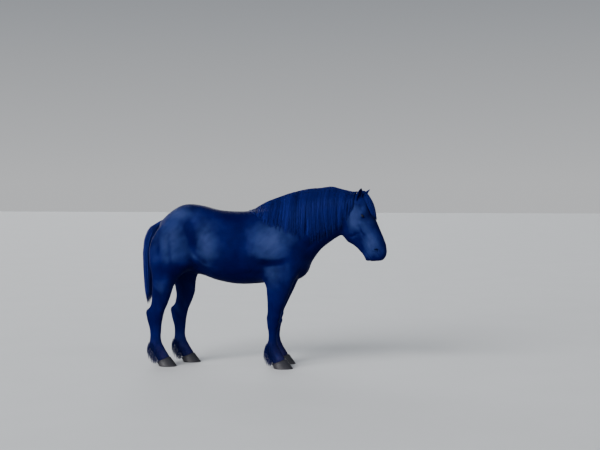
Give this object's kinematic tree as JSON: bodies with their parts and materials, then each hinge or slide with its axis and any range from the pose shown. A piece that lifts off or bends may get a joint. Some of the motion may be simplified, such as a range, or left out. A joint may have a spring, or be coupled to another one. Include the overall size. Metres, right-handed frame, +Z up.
{
  "type": "horse",
  "caption": "Heavy cob horse standing at rest with its head lowered, with a long mane over one side of the neck and a full tail.",
  "frame": {"origin": "on the floor, under the middle of the whole outline", "axes": "+X the way the horse faces, +Y to its left, +Z up"},
  "size_m": [2.3948, 0.6058, 1.7305],
  "materials": {
    "coat": "short glossy black coat, roughness 0.42",
    "hair": "long black hair, roughness 0.55",
    "hoof": "dark dull horn, roughness 0.6",
    "eye": "wet dark brown, roughness 0.08"
  },
  "bodies": {
    "root": {"head": "coat", "neck": "coat", "trunk": "coat", "foreleg_right": "coat", "foreleg_left": "coat", "hindleg_right": "coat", "hindleg_left": "coat", "ear_right": "coat", "ear_left": "coat", "eye_right": "eye", "eye_left": "eye", "fore_hoof_right": "hoof", "fore_hoof_left": "hoof", "hind_hoof_right": "hoof", "hind_hoof_left": "hoof", "mane": "hair", "forelock": "hair", "tail": "hair"}
  },
  "joints": []
}
